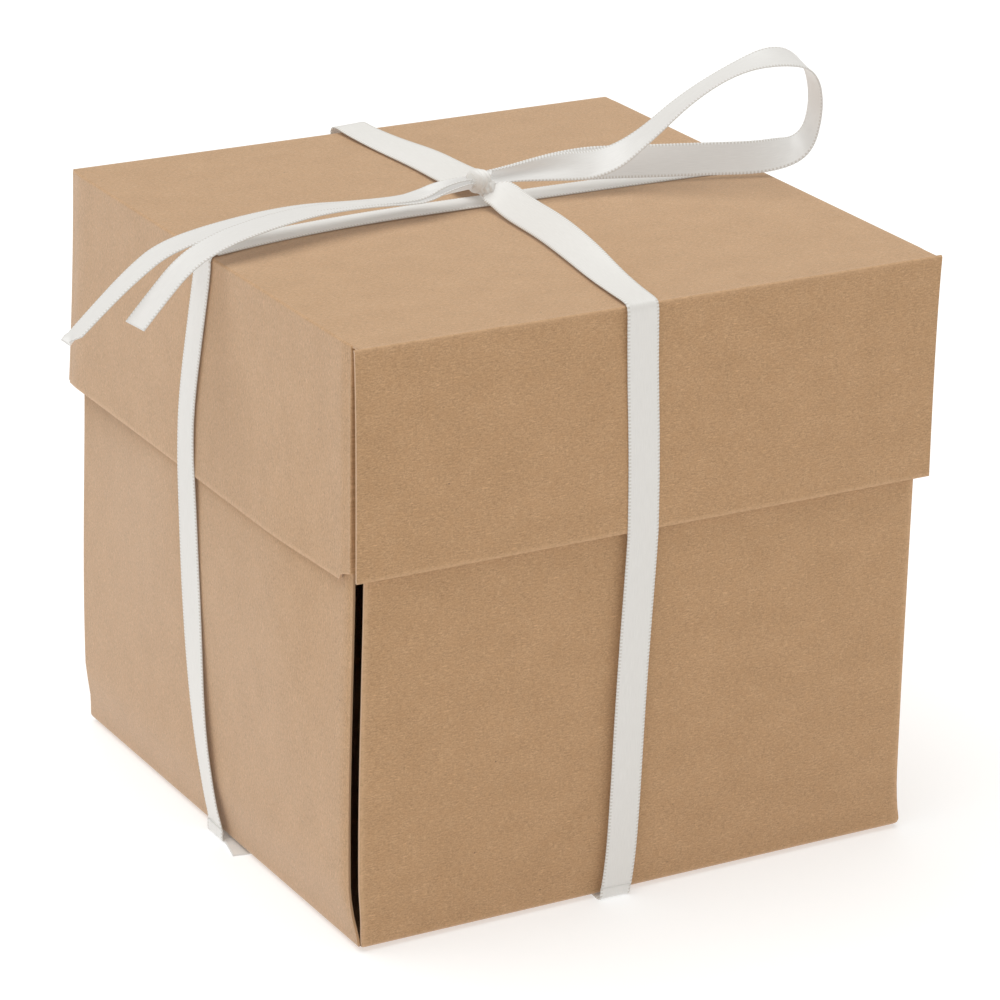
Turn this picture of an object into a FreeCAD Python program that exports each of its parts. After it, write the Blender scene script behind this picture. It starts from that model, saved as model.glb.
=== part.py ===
import FreeCAD, Part
import Sketcher

import math
import os

# Square gift box of thin board, with a lift-off lid and a ribbon tied crosswise round both.
# Millimetres, +Z up. The origin is the middle of the footprint, on the surface the box stands on.
# -Y is the front, -X the left. The box stands on the two ribbon runs that cross under its base.

doc = FreeCAD.newDocument("GiftBox")

# ---------------------------------------------------------------- driving dimensions

SIZES = [
    ("BoardThickness", 0.5, "folding board of the box and the lid"),
    ("BodyWidth", 120.0, "box, outside, along X"),
    ("BodyDepth", 120.0, "box, outside, along Y"),
    ("SideHeight", 117.0, "each side, from its base crease to its free top edge"),
    ("SideRelief", 1.25, "how far each side stops short of the corner"),
    ("ReliefHeight", 7.0, "height above the crease where a side has narrowed to its relief"),
    ("CreaseRadius", 0.45, "outside radius of a folded crease"),
    ("LidClearance", 0.9, "gap between the sides and the lid's walls"),
    ("SkirtDepth", 44.0, "lid walls, from the lid's top face to their lower edge"),
    ("TabLength", 15.0, "glue tab, along the wall that it is stuck to"),
    ("TabSetback", 1.0, "glue tab, short of the lid's lower edge and of its top panel"),
    ("TabTaper", 6.0, "how much shorter a glue tab's free edge is at each end"),
    ("RibbonWidth", 6.5, "satin ribbon"),
    ("RibbonThickness", 0.3, "satin ribbon"),
    ("KnotX", 0.0, "middle of the knot"),
    ("KnotY", 5.5, "middle of the knot"),
    ("KnotWidth", 5.0, "knot, along X"),
    ("KnotLap", 0.25, "knot, past each edge of the ribbon under it"),
    ("KnotHeight", 6.8, "knot, above the ribbon that it sits on"),
    ("KnotRounding", 1.2, "knot, its rounded edges"),
    ("FrontTopX", -3.8, "middle of the front ribbon at the lid's top edge"),
    ("FrontRimX", -2.2, "the same at the lid's lower edge"),
    ("FrontBaseX", -6.0, "the same at the base"),
    ("BackTopX", 0.7, "middle of the back ribbon at the lid's top edge"),
    ("BackRimX", 2.4, "the same at the lid's lower edge"),
    ("BackBaseX", 4.0, "the same at the base"),
    ("LeftTopY", 0.3, "middle of the left ribbon at the lid's top edge"),
    ("LeftRimY", 7.4, "the same at the lid's lower edge"),
    ("RightTopY", 5.0, "middle of the right ribbon at the lid's top edge"),
    ("RightRimY", 4.0, "the same at the lid's lower edge"),
    ("SideBaseY", -2.4, "middle of the left and right ribbons at the base"),
    ("CordDiameter", 1.6, "round section with the same area as the ribbon's flat one"),
    ("CordSpacing", 2.8, "between the two ribbon ends that leave one face of the knot"),
    ("CordRise", 3.2, "from the ribbon under the knot up to the ends that leave it"),
    ("CordLead", 5.0, "straight stretch of each of those ends"),
]

sheet = doc.addObject("Spreadsheet::Sheet", "Sizes")
for row, (alias, value, meaning) in enumerate(SIZES, start=1):
    sheet.set(f"A{row}", alias)
    sheet.set(f"B{row}", str(value))
    sheet.setAlias(f"B{row}", alias)
    sheet.set(f"C{row}", meaning)
doc.recompute()


def bound(formula):
    """A formula in the spreadsheet's aliases, written as an expression of the document."""
    words = []
    for word in formula.replace("(", " ( ").replace(")", " ) ").split():
        words.append("Sizes." + word if word[0].isalpha() else word)
    return " ".join(words)


def size(formula):
    """The value of such a formula now, in millimetres."""
    value = sheet.evalExpression(bound(formula))
    return float(getattr(value, "Value", value))


# Heights, from the floor up.
RUN_TOP = "RibbonThickness"
BASE_LOW = "2 * RibbonThickness"
BASE_HIGH = "2 * RibbonThickness + BoardThickness"
SIDE_TOP = "2 * RibbonThickness + SideHeight"
LID_TOP = "2 * RibbonThickness + SideHeight + BoardThickness"
RIM = "2 * RibbonThickness + SideHeight + BoardThickness - SkirtDepth"
BAND_TOP = "3 * RibbonThickness + SideHeight + BoardThickness"

# Half widths, from the middle out: the box, then the lid's walls inside and outside.
BODY_X = "BodyWidth / 2"
BODY_Y = "BodyDepth / 2"
LID_IN_X = "BodyWidth / 2 + LidClearance"
LID_IN_Y = "BodyDepth / 2 + LidClearance"
LID_OUT_X = "BodyWidth / 2 + LidClearance + BoardThickness"
LID_OUT_Y = "BodyDepth / 2 + LidClearance + BoardThickness"
HALF_RIBBON = "RibbonWidth / 2"

made = []


def minus(formula):
    return f"0 - ( {formula} )"


# ---------------------------------------------------------------- flat pieces

def flat_piece(label, plane, outline, thickness, offset):
    """A flat blank: an outline on one of its body's planes, padded to its thickness.

    A pad on XZ grows towards -Y, on YZ towards +X and on XY towards +Z.
    offset moves the finished body along that plane's normal axis.
    """
    body = doc.addObject("PartDesign::Body", label)
    body.Label = label
    face = next(part for part in body.Origin.OriginFeatures if part.Role == plane + "_Plane")
    sketch = body.newObject("Sketcher::SketchObject", label + "_outline")
    sketch.AttachmentSupport = [(face, "")]
    sketch.MapMode = "FlatFace"
    corners = [FreeCAD.Vector(size(across), size(up), 0) for across, up in outline]
    count = len(corners)
    for index in range(count):
        sketch.addGeometry(Part.LineSegment(corners[index], corners[(index + 1) % count]))
    for index in range(count):
        sketch.addConstraint(Sketcher.Constraint("Coincident", index, 2, (index + 1) % count, 1))
    for index, (across, up) in enumerate(outline):
        for kind, formula, value in (("X", across, corners[index].x), ("Y", up, corners[index].y)):
            number = sketch.addConstraint(Sketcher.Constraint("Distance" + kind, -1, 1, index, 1, value))
            sketch.setExpression(f"Constraints[{number}]", bound(formula))
    pad = body.newObject("PartDesign::Pad", label + "_board")
    pad.Profile = sketch
    pad.setExpression("Length", bound(thickness))
    axis = {"XY": "z", "XZ": "y", "YZ": "x"}[plane]
    body.setExpression("Placement.Base." + axis, bound(offset))
    doc.recompute()
    made.append(body)
    return body


def soften(body, radius, *formulas):
    """Round the straight edges of a body whose middles lie at the given places, in its own frame."""
    feature = body.Tip
    wanted = [FreeCAD.Vector(*(size(part) for part in place)) for place in formulas]
    names = []
    for number, edge in enumerate(feature.Shape.Edges, start=1):
        middle = edge.valueAt((edge.FirstParameter + edge.LastParameter) / 2)
        if any(middle.distanceToPoint(point) < 0.01 for point in wanted):
            names.append(f"Edge{number}")
    if len(names) != len(wanted):
        raise RuntimeError(f"{body.Label}: {len(names)} of {len(wanted)} edges found")
    fillet = body.newObject("PartDesign::Fillet", body.Label + "_crease")
    fillet.Base = (feature, names)
    fillet.setExpression("Radius", bound(radius))
    doc.recompute()


def rectangle(left, right, low, high):
    return [(left, low), (right, low), (right, high), (left, high)]


# ---------------------------------------------------------------- the box

def base_panel():
    half_x, half_y = BODY_X + " - BoardThickness", BODY_Y + " - BoardThickness"
    outline = rectangle(minus(half_x), half_x, minus(half_y), half_y)
    flat_piece("base_panel", "XY", outline, "BoardThickness", BASE_LOW)


def side_outline(half):
    """A side as wide as the base at its crease, then narrowed so that the corner stays open."""
    foot = half + " - BoardThickness"
    free = half + " - SideRelief"
    shoulder = BASE_LOW + " + ReliefHeight"
    return [
        (minus(foot), BASE_LOW), (foot, BASE_LOW), (free, shoulder),
        (free, SIDE_TOP), (minus(free), SIDE_TOP), (minus(free), shoulder),
    ]


def side_panels():
    front = flat_piece("front_side", "XZ", side_outline(BODY_X), "BoardThickness",
                       minus(BODY_Y + " - BoardThickness"))
    soften(front, "CreaseRadius", ("0", "0 - BoardThickness", BASE_LOW))
    back = flat_piece("back_side", "XZ", side_outline(BODY_X), "BoardThickness", BODY_Y)
    soften(back, "CreaseRadius", ("0", "0", BASE_LOW))
    left = flat_piece("left_side", "YZ", side_outline(BODY_Y), "BoardThickness", minus(BODY_X))
    soften(left, "CreaseRadius", ("0", "0", BASE_LOW))
    right = flat_piece("right_side", "YZ", side_outline(BODY_Y), "BoardThickness",
                       BODY_X + " - BoardThickness")
    soften(right, "CreaseRadius", ("BoardThickness", "0", BASE_LOW))


# ---------------------------------------------------------------- the lid

def lid_panels():
    """The top, with the front and back walls lapping over the ends of the left and right ones."""
    outline = rectangle(minus(LID_IN_X), LID_IN_X, minus(LID_IN_Y), LID_IN_Y)
    flat_piece("lid_top", "XY", outline, "BoardThickness", SIDE_TOP)
    across = rectangle(minus(LID_OUT_X), LID_OUT_X, RIM, LID_TOP)
    front = flat_piece("lid_front_wall", "XZ", across, "BoardThickness", minus(LID_IN_Y))
    soften(front, "CreaseRadius", ("0", "0 - BoardThickness", LID_TOP))
    back = flat_piece("lid_back_wall", "XZ", across, "BoardThickness", LID_OUT_Y)
    soften(back, "CreaseRadius", ("0", "0", LID_TOP))
    along = rectangle(minus(LID_IN_Y), LID_IN_Y, RIM, LID_TOP)
    left = flat_piece("lid_left_wall", "YZ", along, "BoardThickness", minus(LID_OUT_X))
    soften(left, "CreaseRadius", ("0", "0", LID_TOP))
    right = flat_piece("lid_right_wall", "YZ", along, "BoardThickness", LID_IN_X)
    soften(right, "CreaseRadius", ("BoardThickness", "0", LID_TOP))


def glue_tabs():
    """A tab at each end of the left and right walls, folded in behind the front or back wall."""
    low, high = RIM + " + TabSetback", SIDE_TOP + " - TabSetback"
    folds = {"left": minus(LID_IN_X), "right": LID_IN_X}
    free_edges = {"left": minus(LID_IN_X) + " + TabLength", "right": LID_IN_X + " - TabLength"}
    places = {"front": minus(LID_IN_Y + " - BoardThickness"), "back": LID_IN_Y}
    for end, place in places.items():
        for hand in ("left", "right"):
            outline = [
                (folds[hand], low), (free_edges[hand], low + " + TabTaper"),
                (free_edges[hand], high + " - TabTaper"), (folds[hand], high),
            ]
            flat_piece(f"lid_tab_{end}_{hand}", "XZ", outline, "BoardThickness", place)


# ---------------------------------------------------------------- the ribbon round the box

def band(stations):
    """The outline of a flat band through (middle, along) stations, square to its length."""
    one_edge = [(f"{middle} - {HALF_RIBBON}", along) for middle, along in stations]
    other_edge = [(f"{middle} + {HALF_RIBBON}", along) for middle, along in reversed(stations)]
    return one_edge + other_edge


def swapped(outline):
    return [(up, across) for across, up in outline]


def ribbon_on_top():
    """One run from side to side under the knot, and two halves from front and back up to it."""
    low_y, high_y = f"KnotY - {HALF_RIBBON}", f"KnotY + {HALF_RIBBON}"
    across = swapped(band([
        ("LeftTopY", minus(LID_OUT_X)), ("KnotY", f"KnotX - {HALF_RIBBON}"),
        ("KnotY", f"KnotX + {HALF_RIBBON}"), ("RightTopY", LID_OUT_X),
    ]))
    flat_piece("ribbon_top_side_to_side", "XY", across, "RibbonThickness", LID_TOP)
    front = band([("FrontTopX", minus(LID_OUT_Y)), ("KnotX", low_y)])
    flat_piece("ribbon_top_front", "XY", front, "RibbonThickness", LID_TOP)
    back = band([("KnotX", high_y), ("BackTopX", LID_OUT_Y)])
    flat_piece("ribbon_top_back", "XY", back, "RibbonThickness", LID_TOP)


def ribbon_drops():
    """Down each side of the lid and on to the base, straight over the lid's lower edge."""
    places = {
        "front": ("XZ", "X", minus(LID_OUT_Y)),
        "back": ("XZ", "X", LID_OUT_Y + " + RibbonThickness"),
        "left": ("YZ", "Y", minus(LID_OUT_X + " + RibbonThickness")),
        "right": ("YZ", "Y", LID_OUT_X),
    }
    for side, (plane, letter, offset) in places.items():
        name = side.capitalize()
        foot = f"{name}BaseX" if letter == "X" else "SideBaseY"
        outline = band([
            (f"{name}Top{letter}", BAND_TOP), (f"{name}Rim{letter}", RIM), (foot, RUN_TOP),
        ])
        flat_piece(f"ribbon_{side}_drop", plane, outline, "RibbonThickness", offset)


def ribbon_under_base():
    """Two runs that cross under the base. The side-to-side one steps up over the other."""
    end_x, end_y = LID_OUT_X + " + RibbonThickness", LID_OUT_Y + " + RibbonThickness"
    under = band([("FrontBaseX", minus(end_y)), ("BackBaseX", end_y)])
    flat_piece("ribbon_under_front_to_back", "XY", under, "RibbonThickness", "0")
    crossing = (
        "( FrontBaseX + BackBaseX ) / 2"
        f" + ( BackBaseX - FrontBaseX ) * SideBaseY / ( 2 * ( {end_y} ) )"
    )
    flat, foot = f"{HALF_RIBBON} + 2 * RibbonThickness", f"{HALF_RIBBON} + 4 * RibbonThickness"
    line = [
        (minus(end_x), "0"), (f"{crossing} - ( {foot} )", "0"),
        (f"{crossing} - ( {flat} )", "RibbonThickness"), (f"{crossing} + ( {flat} )", "RibbonThickness"),
        (f"{crossing} + {foot}", "0"), (end_x, "0"),
    ]
    upper = [(along, f"{up} + RibbonThickness") for along, up in reversed(line)]
    flat_piece("ribbon_under_side_to_side", "XZ", line + upper, "RibbonWidth",
               f"SideBaseY + {HALF_RIBBON}")


# ---------------------------------------------------------------- the bow

def knot():
    """The tight wrap over the crossing, a rounded block on the side-to-side run."""
    half_x, half_y = "KnotWidth / 2", f"( {HALF_RIBBON} + KnotLap )"
    outline = rectangle(f"KnotX - {half_x}", f"KnotX + {half_x}", f"KnotY - {half_y}", f"KnotY + {half_y}")
    body = flat_piece("ribbon_knot", "XY", outline, "KnotHeight", BAND_TOP)
    corners = [
        (f"KnotX {sign_x} {half_x}", f"KnotY {sign_y} {half_y}", "KnotHeight / 2")
        for sign_x in "+-" for sign_y in "+-"
    ]
    rims = [
        (f"KnotX {sign} {half_x}", "KnotY", "KnotHeight") for sign in "+-"
    ] + [
        ("KnotX", f"KnotY {sign} {half_y}", "KnotHeight") for sign in "+-"
    ]
    soften(body, "KnotRounding", *corners, *rims)


# The loose ribbon beyond the straight lead of each end, as points from the middle of the knot's
# underside. The loop leaves low at the back of the knot, runs out over the right edge, turns up and
# comes back in front. The tails run over the left edge, the shorter one in front.
LOOP_LINE = [
    (12.0, 1.0, 5.1), (26.0, 0.5, 4.5), (38.0, -1.1, 3.7), (50.0, -4.1, 3.4), (60.5, -7.9, 3.4),
    (69.4, -8.3, 4.9), (71.2, -8.9, 13.1), (69.6, -8.5, 21.0), (63.0, -8.1, 24.3),
    (53.0, -6.9, 22.3), (43.0, -5.5, 17.2), (34.0, -3.7, 9.8), (26.0, -2.7, 5.4), (14.0, -1.9, 5.5),
]
LONG_TAIL_LINE = [
    (-14.0, 0.5, 3.4), (-26.0, -0.3, 3.9), (-40.0, -1.5, 4.8), (-56.0, -3.1, 3.8),
    (-69.0, -4.3, 1.8), (-76.0, -5.3, -2.1), (-83.0, -6.2, -7.2), (-90.2, -7.2, -12.9),
]
SHORT_TAIL_LINE = [
    (-14.0, -2.1, 2.8), (-26.0, -3.1, 3.8), (-38.0, -4.7, 4.8), (-50.0, -7.7, 4.8),
    (-61.0, -10.1, 3.5), (-68.5, -11.3, 0.4), (-74.0, -11.9, -4.7), (-79.0, -12.4, -9.7),
]


def knot_face(side, row):
    """Where a ribbon end leaves the knot: side is +1 right or -1 left, row is +1 back or -1 front."""
    return FreeCAD.Vector(
        size("KnotX") + side * size("KnotWidth") / 2,
        size("KnotY") + row * size("CordSpacing") / 2,
        size(BAND_TOP) + size("CordRise"),
    )


def rounded_path(points):
    """Straight runs joined by tangent arcs, each arc as large as its two runs allow."""
    edges = []
    start = points[0]
    radii = []
    for before, corner, after in zip(points, points[1:], points[2:]):
        incoming, outgoing = before - corner, after - corner
        turn = math.pi - incoming.getAngle(outgoing)
        cut = 0.45 * min(incoming.Length, outgoing.Length)
        radius = cut / math.tan(turn / 2)
        radii.append(radius)
        incoming.normalize()
        outgoing.normalize()
        first, last = corner + incoming * cut, corner + outgoing * cut
        inward = incoming + outgoing
        inward.normalize()
        centre = corner + inward * (radius / math.cos(turn / 2))
        middle = centre - inward * radius
        edges.append(Part.LineSegment(start, first).toShape())
        edges.append(Part.Arc(first, middle, last).toShape())
        start = last
    edges.append(Part.LineSegment(start, points[-1]).toShape())
    return Part.Wire(edges), radii


def cord(label, points):
    """A round solid along a rounded path. The first point is where it leaves the knot."""
    wire, radii = rounded_path(points)
    radius = size("CordDiameter") / 2
    start = points[0]
    direction = points[1] - points[0]
    section = Part.Wire(Part.Circle(start, direction, radius).toShape())
    solid = wire.makePipeShell([section], True, False, 2)
    expected = math.pi * radius ** 2 * wire.Length
    if abs(solid.Volume - expected) > 0.02 * expected:
        raise RuntimeError(f"{label}: volume {solid.Volume:.2f}, expected {expected:.2f}")
    feature = doc.addObject("Part::Feature", label)
    feature.Label = label
    feature.Shape = solid
    feature.Placement = FreeCAD.Placement()
    print(f"{label}: {wire.Length:.1f} mm long, radii", [round(value, 1) for value in radii])
    made.append(feature)


def bow():
    """A single loop to the right of the knot, and two tails to its left."""
    right = (knot_face(1, 1), knot_face(1, -1))
    left = (knot_face(-1, 1), knot_face(-1, -1))
    away = FreeCAD.Vector(size("CordLead"), 0, 0)
    foot = FreeCAD.Vector(size("KnotX"), size("KnotY"), size(BAND_TOP))
    loop = [right[0], right[0] + away]
    loop += [foot + FreeCAD.Vector(*step) for step in LOOP_LINE]
    loop += [right[1] + away, right[1]]
    cord("ribbon_loop", loop)
    for label, root, line in (
        ("ribbon_long_tail", left[0], LONG_TAIL_LINE), ("ribbon_short_tail", left[1], SHORT_TAIL_LINE),
    ):
        cord(label, [root, root - away] + [foot + FreeCAD.Vector(*step) for step in line])


# ---------------------------------------------------------------- the whole part

base_panel()
side_panels()
lid_panels()
glue_tabs()
ribbon_on_top()
ribbon_drops()
ribbon_under_base()
knot()
bow()
doc.recompute()

for item in doc.Objects:
    if "Invalid" in item.State or "Error" in item.State:
        raise RuntimeError(f"{item.Label} failed: {item.State}")
for item in made:
    if item.Shape.isNull() or not item.Shape.isValid() or not item.Shape.Solids:
        raise RuntimeError(f"{item.Label} has no valid solid")

os.makedirs("parts", exist_ok=True)
for item in made:
    item.Shape.exportStep(f"parts/{item.Label}.step")
print(len(made), "sub-parts written")
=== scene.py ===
import math

import bpy
import numpy as np
from mathutils import Euler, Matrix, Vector


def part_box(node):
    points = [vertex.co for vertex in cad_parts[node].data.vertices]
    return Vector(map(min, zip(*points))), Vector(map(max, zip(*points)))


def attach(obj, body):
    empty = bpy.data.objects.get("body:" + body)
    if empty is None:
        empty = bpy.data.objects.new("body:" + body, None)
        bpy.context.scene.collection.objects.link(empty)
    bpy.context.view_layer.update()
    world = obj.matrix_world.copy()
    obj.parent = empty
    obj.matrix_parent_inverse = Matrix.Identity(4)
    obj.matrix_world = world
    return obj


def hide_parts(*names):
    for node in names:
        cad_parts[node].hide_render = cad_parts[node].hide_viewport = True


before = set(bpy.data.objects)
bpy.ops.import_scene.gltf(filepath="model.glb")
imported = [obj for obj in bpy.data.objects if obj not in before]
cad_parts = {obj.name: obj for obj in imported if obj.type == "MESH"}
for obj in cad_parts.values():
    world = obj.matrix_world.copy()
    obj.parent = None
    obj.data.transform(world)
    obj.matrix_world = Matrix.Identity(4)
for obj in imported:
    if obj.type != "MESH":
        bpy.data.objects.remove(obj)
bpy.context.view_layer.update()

# Lengths below are millimetres in the frame's own axes; MM turns them into Blender's metres.
MM = 0.001

BOARD = 0.5           # thickness of the folding board
RIBBON_WIDTH = 6.5
RIBBON_THICK = 0.24   # satin between the selvedges
SELVEDGE_THICK = 0.34
PICOT_PITCH = 0.7     # one woven bump of the selvedge
PICOT_REACH = 0.07


def low(node):
    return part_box(node)[0] / MM


def high(node):
    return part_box(node)[1] / MM


LID_X, LID_Y, LID_TOP = high("lid_front_wall").x, high("lid_back_wall").y, high("lid_top").z
RIM = low("lid_front_wall").z
BODY_X, BODY_Y = high("right_side").x, high("back_side").y
BASE, SIDE_TOP = low("base_panel").z, high("front_side").z
SKIRT = LID_TOP - RIM


# ---------------------------------------------------------------- camera, light, floor

CAMERA_PLACE = (-397.0, -702.1, 366.4)
CAMERA_AZIMUTH, CAMERA_ELEVATION, CAMERA_ROLL = -29.645, 20.875, 1.066
SENSOR_WIDTH, LENS = 36.0, 157.85
WORLD_TINT, WORLD_STRENGTH = (1.0, 0.94, 0.85, 1.0), 0.42
KEY_DIRECTION, KEY_STRENGTH, KEY_SPREAD = (0.18, -0.14, -0.96), 2.2, 60.0
FILL_PLACE, FILL_TARGET = Vector((1.0, -1.3, 0.75)), Vector((0.0, 0.0, 0.07))
FILL_SIDE, FILL_WATTS = 0.9, 0.8
FLOOR_REACH, FLOOR_GREY, FLOOR_GLOW = 3.0, 0.62, 0.49


def placed(name, data):
    """An object in the scene round this mesh, curve, light or camera."""
    thing = bpy.data.objects.new(name, data)
    bpy.context.scene.collection.objects.link(thing)
    return thing


def camera():
    """Seen from the front left and a little above, with a long lens."""
    data = bpy.data.cameras.new("camera")
    data.sensor_width = SENSOR_WIDTH
    data.lens = LENS
    data.clip_end = 20.0
    seat = placed("camera", data)
    upright = math.pi / 2 - math.radians(CAMERA_ELEVATION)
    turn = Euler((upright, 0.0, math.radians(CAMERA_AZIMUTH))).to_matrix()
    roll = Euler((0.0, 0.0, math.radians(CAMERA_ROLL))).to_matrix()
    seat.matrix_world = (turn @ roll).to_4x4()
    seat.location = Vector(CAMERA_PLACE) * MM
    bpy.context.scene.camera = seat


def light(name, kind, energy, tint, direction, place=(0.0, 0.0, 0.0)):
    data = bpy.data.lights.new(name, kind)
    data.energy = energy
    data.color = tint
    stand = placed(name, data)
    stand.location = place
    stand.rotation_euler = Vector(direction).to_track_quat("-Z", "Y").to_euler()
    return data


def floor():
    """A pale floor that glows a little, so that it goes as white as the background."""
    mesh = bpy.data.meshes.new("floor")
    corners = [(x, y, 0.0) for x, y in ((-1, -1), (1, -1), (1, 1), (-1, 1))]
    mesh.from_pydata([Vector(corner) * FLOOR_REACH for corner in corners], [], [(0, 1, 2, 3)])
    ground = placed("floor", mesh)
    paper = bpy.data.materials.new("floor")
    paper.use_nodes = True
    skin = paper.node_tree.nodes["Principled BSDF"]
    skin.inputs["Base Color"].default_value = (FLOOR_GREY, FLOOR_GREY, FLOOR_GREY, 1.0)
    skin.inputs["Roughness"].default_value = 0.9
    skin.inputs["Emission Color"].default_value = (1.0, 1.0, 1.0, 1.0)
    skin.inputs["Emission Strength"].default_value = FLOOR_GLOW
    mesh.materials.append(paper)


def studio():
    """A broad soft key from above, a weak warm fill from the front right and a pale world."""
    bpy.context.scene.view_settings.view_transform = "Standard"
    world = bpy.data.worlds.new("studio")
    world.use_nodes = True
    shade = world.node_tree.nodes["Background"]
    shade.inputs["Color"].default_value = WORLD_TINT
    shade.inputs["Strength"].default_value = WORLD_STRENGTH
    bpy.context.scene.world = world
    key = light("key", "SUN", KEY_STRENGTH, (0.955, 0.985, 1.0), KEY_DIRECTION)
    key.angle = math.radians(KEY_SPREAD)
    fill = light("fill", "AREA", FILL_WATTS, (1.0, 0.94, 0.84), FILL_TARGET - FILL_PLACE, FILL_PLACE)
    fill.size = FILL_SIDE
    floor()


# ---------------------------------------------------------------- materials

class Nodes:
    """A short way to write a node tree: new() adds a node, sets its sockets and returns it."""

    def __init__(self, material):
        material.use_nodes = True
        self.tree = material.node_tree
        self.skin = self.tree.nodes["Principled BSDF"]

    def new(self, kind, settings=None, **sockets):
        node = self.tree.nodes.new(kind)
        for name, value in (settings or {}).items():
            setattr(node, name, value)
        for name, value in sockets.items():
            self.feed(node.inputs[name.replace("_", " ")], value)
        return node

    def feed(self, socket, value):
        if isinstance(value, bpy.types.NodeSocket):
            self.tree.links.new(value, socket)
        else:
            socket.default_value = value

    def scaled(self, vector, amounts):
        return self.new("ShaderNodeMapping", Vector=vector, Scale=amounts).outputs["Vector"]

    def noise(self, vector, scale, detail=3.0, roughness=0.5):
        node = self.new("ShaderNodeTexNoise", Vector=vector, Scale=scale, Detail=detail,
                        Roughness=roughness)
        return node.outputs["Fac"]

    def ramp(self, value, start, end, low_value=0.0, high_value=1.0):
        node = self.new("ShaderNodeMapRange", Value=value)
        for name, number in (
            ("From Min", start), ("From Max", end), ("To Min", low_value), ("To Max", high_value),
        ):
            node.inputs[name].default_value = number
        return node.outputs["Result"]

    def maths(self, operation, a, b=0.0):
        node = self.new("ShaderNodeMath", {"operation": operation})
        self.feed(node.inputs[0], a)
        self.feed(node.inputs[1], b)
        return node.outputs[0]

    def mix(self, share, a, b):
        node = self.new("ShaderNodeMix", {"data_type": "RGBA"})
        self.feed(node.inputs["Factor"], share)
        self.feed(node.inputs[6], a)
        self.feed(node.inputs[7], b)
        return node.outputs[2]


def kraft(name, base):
    """Uncoated kraft board: short fibres mostly one way, fine grain, pale flecks, tiny dark specks."""
    material = bpy.data.materials.new(name)
    n = Nodes(material)
    grain = n.new("ShaderNodeUVMap", {"uv_map": "board"}).outputs["UV"]
    mottle = n.noise(n.scaled(grain, (0.7, 1.0, 1.0)), 0.16, 4.0, 0.6)
    fibre = n.noise(n.scaled(grain, (0.75, 2.3, 1.0)), 1.25, 4.0, 0.65)
    fine = n.noise(n.scaled(grain, (0.85, 1.15, 1.0)), 3.0, 3.0, 0.7)
    tone = n.maths("MULTIPLY", mottle, 0.12)
    for part, share in ((fibre, 0.36), (fine, 0.52)):
        tone = n.maths("ADD", tone, n.maths("MULTIPLY", part, share))

    def shade(gain, lift=0.0):
        return tuple(min(1.0, c * gain + lift) for c in base) + (1.0,)

    colour = n.mix(n.ramp(tone, 0.37, 0.63), shade(0.77, -0.036), shade(1.20, 0.036))
    hue = n.noise(grain, 0.5, 3.0, 0.6)
    warm = (base[0] * 1.02, base[1] * 0.97, base[2] * 0.90, 1.0)
    colour = n.mix(n.ramp(hue, 0.40, 0.62, 0.0, 0.35), colour, warm)
    for turn, size in ((0.5, 0.9), (2.0, 1.1), (1.1, 0.7)):
        turned = n.new("ShaderNodeMapping", Vector=grain, Rotation=(0.0, 0.0, turn),
                       Scale=(0.55, 3.4, 1.0))
        hairs = n.noise(turned.outputs["Vector"], size, 2.0, 0.5)
        colour = n.mix(n.ramp(hairs, 0.665, 0.74, 0.0, 0.55), colour, shade(1.38, 0.03))
    for size, radius, share in ((0.14, 0.16, 0.80), (0.30, 0.09, 0.55)):
        cells = n.new("ShaderNodeTexVoronoi", Vector=n.scaled(grain, (1.0, 1.3, 1.0)), Scale=size)
        reach = radius * size
        speck = n.ramp(cells.outputs["Distance"], reach * 0.7, reach * 1.5, share, 0.0)
        chance = n.new("ShaderNodeSeparateColor", Color=cells.outputs["Color"]).outputs[0]
        kept = n.ramp(chance, 0.45, 0.55)
        colour = n.mix(n.maths("MULTIPLY", speck, kept), colour, shade(0.30))
    # The attribute read here makes the board paler: rubbed wear at raw edges and creases, and a painted
    # highlight along the lid's front crease and along the curling ridge of the box's left and right
    # sides.
    wear_and_highlight = n.new("ShaderNodeAttribute", {"attribute_name": "wear_and_highlight"}).outputs["Fac"]
    frayed = n.ramp(n.noise(n.scaled(grain, (0.5, 0.5, 1.0)), 2.0, 4.0), 0.36, 0.60, 0.35, 1.0)
    rubbed_and_highlit = n.maths("MULTIPLY", n.maths("MULTIPLY", wear_and_highlight, frayed), 0.85)
    colour = n.mix(rubbed_and_highlit, colour, shade(1.20, 0.06))
    n.feed(n.skin.inputs["Base Color"], colour)
    n.feed(n.skin.inputs["Roughness"], n.ramp(fine, 0.3, 0.7, 0.66, 0.84))
    n.skin.inputs["Specular IOR Level"].default_value = 0.35
    n.skin.inputs["Sheen Weight"].default_value = 0.5
    n.skin.inputs["Sheen Roughness"].default_value = 0.45
    height = n.maths("ADD", n.maths("MULTIPLY", fibre, 0.6), n.maths("MULTIPLY", fine, 0.5))
    bump = n.new("ShaderNodeBump", Height=height, Strength=0.5, Distance=0.00012)
    n.feed(n.skin.inputs["Normal"], bump.outputs["Normal"])
    return material


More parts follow.
